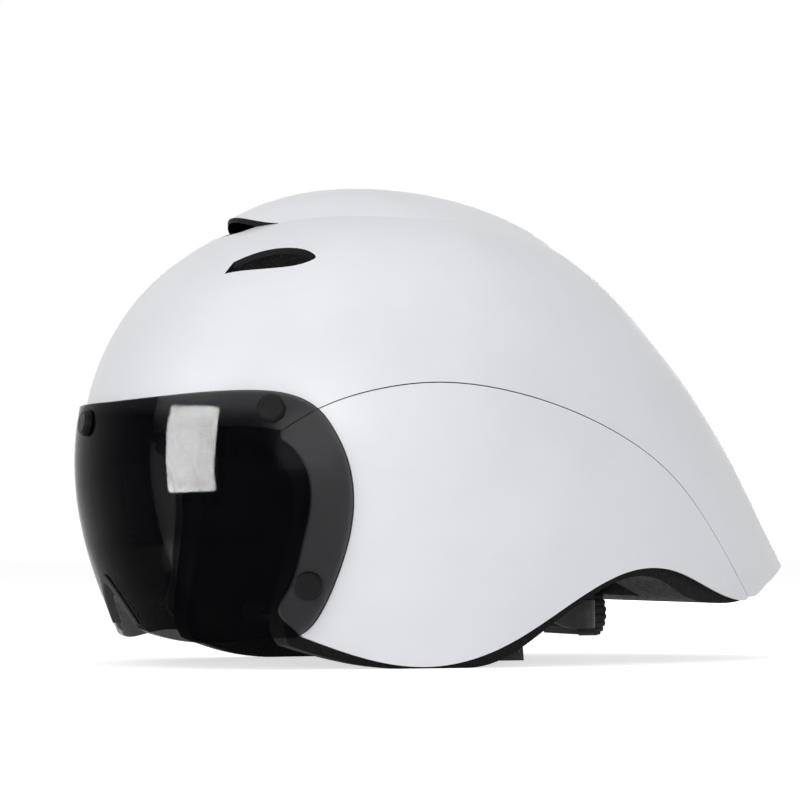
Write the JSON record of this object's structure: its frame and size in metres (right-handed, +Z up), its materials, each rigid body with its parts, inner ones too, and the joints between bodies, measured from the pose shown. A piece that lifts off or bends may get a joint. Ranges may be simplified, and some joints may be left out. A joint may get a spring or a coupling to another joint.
{
  "type": "time trial helmet",
  "caption": "Short-tailed aerodynamic cycling helmet with a wrap-round smoke visor held by magnets, a crown scoop, side vents, a dial fit cradle and a buckled chin strap.",
  "frame": {"origin": "middle of the length and width, on the flat surface that the liner's ear flaps stand on", "axes": "-Y is the front (the visor), +Y the tail, +X the wearer's left, +Z up"},
  "size_m": [0.2064, 0.3529, 0.2196],
  "materials": {
    "shell_white": "satin pale grey white",
    "foam": "black bead foam",
    "lens_smoke": "clear smoke tint",
    "cap_black": "satin black",
    "magnet": "plated magnet",
    "seal_rubber": "matt black",
    "pad_fabric": "brushed dark fabric",
    "fit_plastic": "fine satin black",
    "dial_rubber": "ribbed dark grey",
    "screw_steel": "dark zinc",
    "webbing": "woven black webbing",
    "buckle_plastic": "satin black",
    "keeper_rubber": "matt black"
  },
  "bodies": {
    "helmet": {"upper_shell": "shell_white", "side_shell_left": "shell_white", "side_shell_right": "shell_white", "foam_liner": "foam", "tail_foam": "foam", "shell_magnets": "magnet", "brow_pad": "pad_fabric", "crown_pads": "pad_fabric", "side_pads": "pad_fabric", "temple_anchor_left": "fit_plastic", "temple_anchor_right": "fit_plastic", "height_rail": "fit_plastic", "strap_anchors": "fit_plastic", "front_strap_left": "webbing", "front_strap_right": "webbing", "rear_strap_left": "webbing", "rear_strap_right": "webbing", "strap_divider_left": "buckle_plastic", "strap_divider_right": "buckle_plastic", "chin_strap_left": "webbing", "chin_strap_right": "webbing", "buckle_female": "buckle_plastic", "strap_keeper": "keeper_rubber"},
    "visor": {"visor_lens": "lens_smoke", "visor_caps": "cap_black", "visor_magnets": "magnet", "nose_seal": "seal_rubber"},
    "cradle": {"cradle_housing": "fit_plastic", "cradle_cover": "fit_plastic", "cradle_screws": "screw_steel", "cradle_pad": "pad_fabric"},
    "dial": {"dial_knob": "dial_rubber"},
    "rack_left": {"rack_arm_left": "fit_plastic"},
    "rack_right": {"rack_arm_right": "fit_plastic"},
    "buckle": {"buckle_male": "buckle_plastic"}
  },
  "joints": [
    {"name": "visor_pull", "type": "slide", "parent": "helmet", "child": "visor", "axis": [0, -1, 0], "range_m": [0, 0.1]},
    {"name": "cradle_tilt", "type": "hinge", "parent": "helmet", "child": "cradle", "pos_m": [0, -0.041, 0.07], "axis": [1, 0, 0], "range_deg": [-4, 4]},
    {"name": "dial_turn", "type": "hinge", "parent": "cradle", "child": "dial", "pos_m": [0, 0.0745, 0.022], "axis": [0, -1, 0], "range_deg": [0, 90]},
    {"name": "rack_left_slide", "type": "slide", "parent": "cradle", "child": "rack_left", "axis": [-1, 0, 0], "range_m": [0, 0.0048]},
    {"name": "rack_right_slide", "type": "slide", "parent": "cradle", "child": "rack_right", "axis": [1, 0, 0], "range_m": [0, 0.0048]},
    {"name": "buckle_release", "type": "slide", "parent": "helmet", "child": "buckle", "axis": [-1, 0, 0], "range_m": [0, 0.02], "deforming": ["chin_strap_right"]}
  ],
  "couplings": [
    {"joint": "rack_left_slide", "follows": "dial_turn", "m_per_rad": 0.003},
    {"joint": "rack_right_slide", "follows": "dial_turn", "m_per_rad": 0.003}
  ]
}
